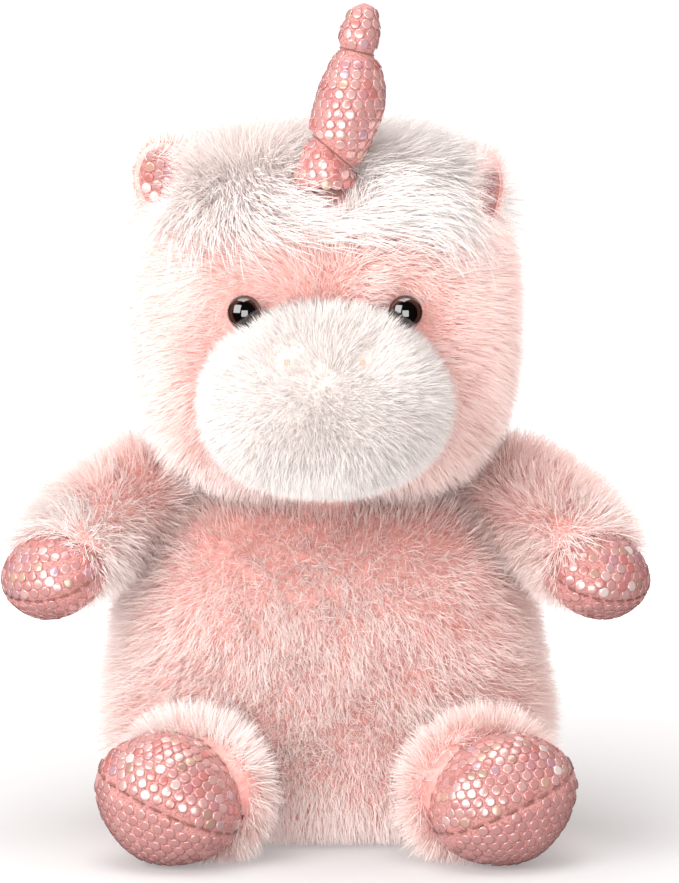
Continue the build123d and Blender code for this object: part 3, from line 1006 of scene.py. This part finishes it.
def hoof_spots(limb, reach, turn):
    """Places of the dots on a hoof and the ways outwards there: a hexagonal net wrapped round it."""
    spots, outs = [], []
    mean = limb.radii.mean()
    for x, y in flat_net(int(2.2 * mean / DOT_PITCH) + 6):
        angle = math.hypot(x, y) / mean
        if angle > NET_EDGE:
            continue
        spin = math.atan2(y, x) + turn
        wide = math.sin(angle)
        way = np.array([[wide * math.cos(spin), wide * math.sin(spin), math.cos(angle)]])
        way = unit(way * limb.radii)
        spot = (way * reach(way)[:, None])[0]
        if abs(spot[1]) < SEAM_GAP or spot[2] < -HOOF_MOUTH:
            continue
        if spots and np.min(np.linalg.norm(np.array(spots) - spot, axis=1)) < CLOSEST * DOT_PITCH:
            continue
        spots.append(spot)
        outs.append(spot / limb.radii**2)
    return np.array(spots), unit(np.array(outs))


def make_hoof(limb):
    """Two panels of foil-dot cloth that meet in a sunk seam, with its thread."""
    rng = np.random.default_rng(70 + int(abs(limb.hoof[0]) * 1e4) + SIDES[limb.name[-1]])
    directions, triangles = BALL[5]
    reach = hoof_level(limb)
    local = directions * reach(directions)[:, None]
    seam = np.exp(-(local[:, 1] / (0.8 * MM))**2)
    local = local - unit(local) * (seam * 0.7 * MM)[:, None]
    verts = limb.place(local, limb.hoof)
    hoof = mesh_object(f"{limb.name}_hoof_cloth", verts, triangles, FOIL_CLOTH)
    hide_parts(f"{limb.name}_hoof_upper", f"{limb.name}_hoof_lower")
    settle(hoof, limb.name)
    spots, outs = hoof_spots(limb, reach, rng.uniform(0, math.pi / 3))
    tints = rng.random(len(spots))
    lower = spots[:, 1] < 0
    tints[lower] = 0.3 + 0.3 * tints[lower]         # the lower panel has only the plain pink tints
    places = limb.place(spots, limb.hoof)
    facing = limb.place(outs, np.zeros(3))
    dots = foil_dots(f"{limb.name}_hoof_dots", places, facing, tints, rng)
    settle(dots, limb.name)
    thread = seam_stitches(limb, reach)
    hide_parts(f"{limb.name}_hoof_thread")
    settle(thread, limb.name)


def seam_stitches(limb, reach):
    """Short stitches of dark thread, one after another along the seam."""
    stitches = []
    count, end, share = 14, math.radians(98), 0.72      # a stitch takes this share of its pitch
    for i in range(count):
        first = end * (2 * i / count - 1)
        last = end * (2 * (i + share) / count - 1)
        path = []
        for angle in np.linspace(first, last, 6):
            way = unit(np.array([[math.sin(angle) * limb.radii[0], 0, math.cos(angle) * limb.radii[2]]]))
            path.append((way * (reach(way)[:, None] - 0.25 * MM))[0])
        stitches.append(tube(limb.place(np.array(path), limb.hoof), 0.36 * MM, 6))
    verts, faces = joined(stitches)
    return mesh_object(f"{limb.name}_hoof_stitches", verts, faces, SEAM_THREAD)


# ---------------------------------------------------------------- horn

HORN_HEIGHT = 50.6 * MM             # from the middle of its root ball to the tip
HORN_TURNS = ((0.184, -0.093), (0.737, -0.022))  # height and slant of the two cinches
# Along the horn from 0 at its root to 1 at its tip: how far it sways and how thick it is, in mm
HORN_SWAY = ((0, 0.18, 0.42, 0.737, 1), (0, 3.6, 7.7, 9.6, 12.0))
HORN_THICKNESS = ((0, 0.1, 0.18, 0.3, 0.42, 0.55, 0.68, 0.74, 0.8, 0.88, 0.95, 0.98, 1.0),
                  (8.8, 9.0, 8.8, 9.6, 10.0, 9.2, 6.8, 5.7, 5.7, 5.2, 4.0, 2.8, 0.5))


def horn_line(t):
    """Middle line of the horn: a gentle S."""
    sway = np.mean([np.interp(t + step, *HORN_SWAY) for step in (-0.06, 0, 0.06)], axis=0)
    return np.stack([sway * MM, -0.5 * MM * np.sin(t * 5), t * HORN_HEIGHT], axis=-1)


def horn_radius(t, angle):
    """Three swelling lobes between slanted cinches."""
    body = np.interp(t, *HORN_THICKNESS) * MM
    for height, slant in HORN_TURNS:
        crease = (t - height - slant * np.cos(angle)) / 0.035
        body = body * (1 - 0.2 * np.exp(-crease**2))
    return body


def horn_surface(t, angle):
    out = np.stack([np.cos(angle), np.sin(angle), np.zeros_like(angle)], axis=-1)
    return horn_line(t) + out * horn_radius(t, angle)[..., None]


def horn_spot(t, angle):
    """One place on the horn, and the way outwards there."""
    p, up, around = (horn_surface(np.array([t + dt]), np.array([angle + da]))[0]
                     for dt, da in ((0, 0), (0.01, 0), (0, 0.05)))
    return p, unit(np.cross(around - p, up - p))


def make_horn():
    root = joint_of("horn")
    rings, spokes = 90, 56
    t = np.linspace(0, 1, rings)
    t = 1 - (1 - t)**1.15
    angle = np.arange(spokes) * 2 * math.pi / spokes
    grid_t, grid_angle = np.meshgrid(t, angle, indexing="ij")
    verts = horn_surface(grid_t, grid_angle).reshape(-1, 3) + root
    cloth = mesh_object("horn_cloth", verts, tube_faces(rings, spokes), FOIL_CLOTH)
    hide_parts("horn_cover", "horn_stuffing")
    settle(cloth, "horn")
    rng = np.random.default_rng(81)
    spots, outs = [], []
    height = 0.5 * MM
    row = 0
    while height < HORN_HEIGHT - 2.5 * MM:
        here = height / HORN_HEIGHT
        mean = float(horn_radius(np.array([here]), np.array([1.0]))[0])
        count = max(3, int(2 * math.pi * mean / DOT_PITCH))
        for k in range(count):
            a = 2 * math.pi * (k + 0.5 * (row % 2)) / count
            near = min(abs(here - h - slant * math.cos(a)) for h, slant in HORN_TURNS)
            if near < 0.022:
                continue
            spot, out = horn_spot(here, a)
            spots.append(spot)
            outs.append(out)
        height += DOT_PITCH * math.sqrt(0.75)
        row += 1
    tints = rng.random(len(spots)) * 0.85 + 0.08
    dots = foil_dots("horn_dots", np.array(spots) + root, np.array(outs), tints, rng)
    settle(dots, "horn")
    wraps = []
    for height, slant in HORN_TURNS:
        turn = np.linspace(-0.2, 2 * math.pi + 0.2, 60)
        level = height + slant * np.cos(turn)
        wraps.append(tube(horn_surface(level, turn) + root, 0.32 * MM, 6))
    verts, faces = joined(wraps)
    thread = mesh_object("horn_wraps", verts, faces, SEAM_THREAD)
    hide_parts("horn_thread")
    settle(thread, "horn")


# ---------------------------------------------------------------- ears and tail

def ear_middle(name):
    """The ear stands a little in front of its root, clear of the pile."""
    root = joint_of(f"ear_{name}")
    return root + EAR_REACH[name] * ear_axes(name)[2] + np.array([0, -4 * MM, 0])


def ear_bowl(x, z):
    """The hollow of an ear: 1 at its middle, fading out to its rim."""
    return np.exp(-((x / (9 * MM))**2 + (z / (9.5 * MM))**2))


def ear_axes(name):
    """Across the ear, through it to the back, and up it."""
    side = SIDES[name]
    turn = Matrix.Rotation(math.radians(side * EAR_LEAN), 3, "Y") @ \
        Matrix.Rotation(math.radians(side * EAR_TURN[name]), 3, "Z")
    return np.array(turn).T


def make_ear(name):
    """A cupped ear: fur outside, foil-dot lining inside."""
    axes = ear_axes(name)
    middle = ear_middle(name)
    directions, triangles = BALL[4]
    local = directions * np.array(EAR_HALF) * np.array([1, 1, EAR_TALL[name]])
    hollow = np.where(local[:, 1] < 0, 1.0, 0.0) * ear_bowl(local[:, 0], local[:, 2])
    local[:, 1] += hollow * 4.2 * MM
    local[:, 1] -= 1.8 * MM * (np.abs(local[:, 0]) / (12 * MM))**2
    verts = middle + local @ axes
    back = mesh_object(f"ear_{name}_skin", verts, triangles, PINK_BACKING)
    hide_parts(f"ear_{name}_back")
    settle(back, f"ear_{name}")

    def keep(points, normals, rng):
        return (normals @ axes[1] > -0.7) & ((points - middle) @ axes[2] > -10 * MM)

    def comb(points, normals):
        """Outwards from the middle of the ear, so that the pile frames the lining."""
        offset = points - middle
        return unit(offset - (offset @ axes[1])[:, None] * axes[1])

    coat = grow(Skin(verts, triangles), "ear", 51 + SIDES[name], EAR_PILE, comb=comb, lean=0.45,
                tint=0.62, keep=keep)
    fur = comb_out(f"ear_{name}_fur", coat)
    settle(fur, f"ear_{name}")
    make_ear_lining(name, middle, axes)


def make_ear_lining(name, middle, axes):
    """A shallow dish of foil-dot cloth that lies in the hollow of the ear."""
    rings, spokes = 14, 40
    half_x, half_z = LINING_HALF[0], LINING_HALF[1] * EAR_TALL[name]
    verts = [[0, 0, 0]]
    for i in range(1, rings + 1):
        t = i / rings
        for k in range(spokes):
            angle = 2 * math.pi * k / spokes
            verts.append([half_x * t * math.cos(angle), 0, half_z * t * math.sin(angle)])
    verts = np.array(verts)
    verts[:, 1] = lining_depth(verts[:, 0], verts[:, 2])
    faces = [[0, 1 + (k + 1) % spokes, 1 + k] for k in range(spokes)]
    for i in range(rings - 1):
        for k in range(spokes):
            a, b = 1 + i * spokes + k, 1 + i * spokes + (k + 1) % spokes
            faces += [[a, b, b + spokes], [a, b + spokes, a + spokes]]
    lining = mesh_object(f"ear_{name}_lining_cloth", middle + verts @ axes, np.array(faces), FOIL_CLOTH)
    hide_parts(f"ear_{name}_lining")
    settle(lining, f"ear_{name}")
    spots, outs = [], []
    for x, z in flat_net(4):
        if (x / (half_x - MM))**2 + (z / (half_z - MM * EAR_TALL[name]))**2 > 1:
            continue
        spots.append([x, lining_depth(x, z) - 0.15 * MM, z])
        slope_x = (lining_depth(x + MM, z) - lining_depth(x - MM, z)) / (2 * MM)
        slope_z = (lining_depth(x, z + MM) - lining_depth(x, z - MM)) / (2 * MM)
        outs.append([slope_x, -1, slope_z])
    rng = np.random.default_rng(91 + SIDES[name])
    dots = foil_dots(f"ear_{name}_dots", middle + np.array(spots) @ axes, unit(np.array(outs)) @ axes,
                     rng.random(len(spots)), rng)
    settle(dots, f"ear_{name}")


def lining_depth(x, z):
    """How far the lining lies behind the front of the ear at a place across and up it."""
    return (-2.3 + 2.6 * ear_bowl(x, z) - 1.2 * (np.abs(x) / (12 * MM))**2) * MM


def make_tail():
    """A drooping white tuft."""
    centre, half = boxes("tail_cover")
    verts, tris = superball(centre, half * np.array([1, 0.8, 1]), 2.0, 2.0, rounds=4)
    height = (verts[:, 2] - centre[2]) / half[2]
    verts[:, 1] += -height * 0.35 * half[1]
    skin = mesh_object("tail_skin", verts, tris, WHITE_BACKING)
    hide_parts("tail_cover", "tail_stuffing")
    settle(skin, "tail")
    coat = grow(Skin(verts, tris), "tail", 61, TAIL_PILE, lean=0.6, tint=0.10, clump=0.5,
                clump_size=3.4 * MM, steps=5)
    fur = comb_out("tail_fur", coat)
    settle(fur, "tail")


# ---------------------------------------------------------------- stage

def make_camera():
    """The camera stands in front of the toy, a little above it."""
    camera = bpy.data.cameras.new("camera")
    camera.lens = CAMERA_LENS
    camera.sensor_width = 36
    view = bpy.data.objects.new("camera", camera)
    back = Vector((0, -math.cos(CAMERA_ELEVATION), math.sin(CAMERA_ELEVATION)))
    view.location = CAMERA_TARGET + back * CAMERA_DISTANCE
    view.rotation_euler = (-back).to_track_quat("-Z", "Y").to_euler()
    bpy.context.scene.collection.objects.link(view)
    bpy.context.scene.camera = view


def make_floor():
    """A pale floor that glows more with distance, so that it runs into the white background."""
    material, tree, bsdf = new_material("studio_floor", Roughness=0.7)
    bsdf.inputs["Base Color"].default_value = (0.5, 0.5, 0.5, 1)
    bsdf.inputs["Emission Strength"].default_value = 1.0
    reach = node(tree, "ShaderNodeVectorMath", operation="LENGTH")
    lay_on_object(tree, reach)
    glow = ramp(tree, reach.outputs["Value"], [(0.1, (0.24, 0.24, 0.24)), (0.5, (0.8, 0.8, 0.8))])
    tree.links.new(glow, bsdf.inputs["Emission Color"])
    corners = FLOOR_HALF * np.array([[-1, -1, 0], [1, -1, 0], [1, 1, 0], [-1, 1, 0]])
    floor = mesh_object("studio_floor", corners, np.array([[0, 1, 2, 3]]), material)
    floor.visible_glossy = False


def make_lamps():
    """A soft key from the upper left, a fill beside the camera and a soft top light."""
    lamp("key_light", (-0.62, -0.75, 0.45), 0.7, 8.5, (1.0, 0.985, 0.97))
    lamp("fill_light", (0.0, -1.5, 0.02), 0.8, 10, (1.0, 0.97, 0.95))
    lamp("top_light", (-0.1, -0.1, 1.2), 0.8, 8, (1.0, 1.0, 1.0))


def make_world():
    """Soft warm light from everywhere. The camera sees plain white, and gloss sees none of it."""
    world = bpy.data.worlds.new("studio")
    world.use_nodes = True
    tree = world.node_tree
    surroundings = tree.nodes["Background"]
    surroundings.inputs["Color"].default_value = (1, 0.95, 0.93, 1)
    surroundings.inputs["Strength"].default_value = 0.95
    white = node(tree, "ShaderNodeBackground")
    white.inputs["Color"].default_value = (1, 1, 1, 1)
    white.inputs["Strength"].default_value = 1.05
    rays = node(tree, "ShaderNodeLightPath")
    chosen = node(tree, "ShaderNodeMixShader")
    tree.links.new(rays.outputs["Is Camera Ray"], chosen.inputs[0])
    tree.links.new(surroundings.outputs[0], chosen.inputs[1])
    tree.links.new(white.outputs[0], chosen.inputs[2])
    tree.links.new(chosen.outputs[0], tree.nodes["World Output"].inputs[0])
    world.cycles_visibility.glossy = False
    bpy.context.scene.world = world
    bpy.context.scene.view_settings.view_transform = "Standard"


def lamp(name, place, size, power, colour):
    """A square area light aimed at the middle of the toy."""
    light = bpy.data.lights.new(name, "AREA")
    light.shape = "SQUARE"
    light.size = size
    light.energy = power
    light.color = colour
    made = bpy.data.objects.new(name, light)
    made.location = place
    aim = Vector((0, 0, 0.12)) - Vector(place)
    made.rotation_euler = aim.to_track_quat("-Z", "Y").to_euler()
    bpy.context.scene.collection.objects.link(made)


make_camera()
make_floor()
make_lamps()
make_world()
make_torso()
make_neck()
make_head()
make_muzzle()
for side_name in SIDES:
    make_eye(side_name)
    make_ear(side_name)
for limb_name in ("arm_l", "arm_r", "leg_l", "leg_r"):
    make_limb(limb_name)
make_horn()
make_tail()
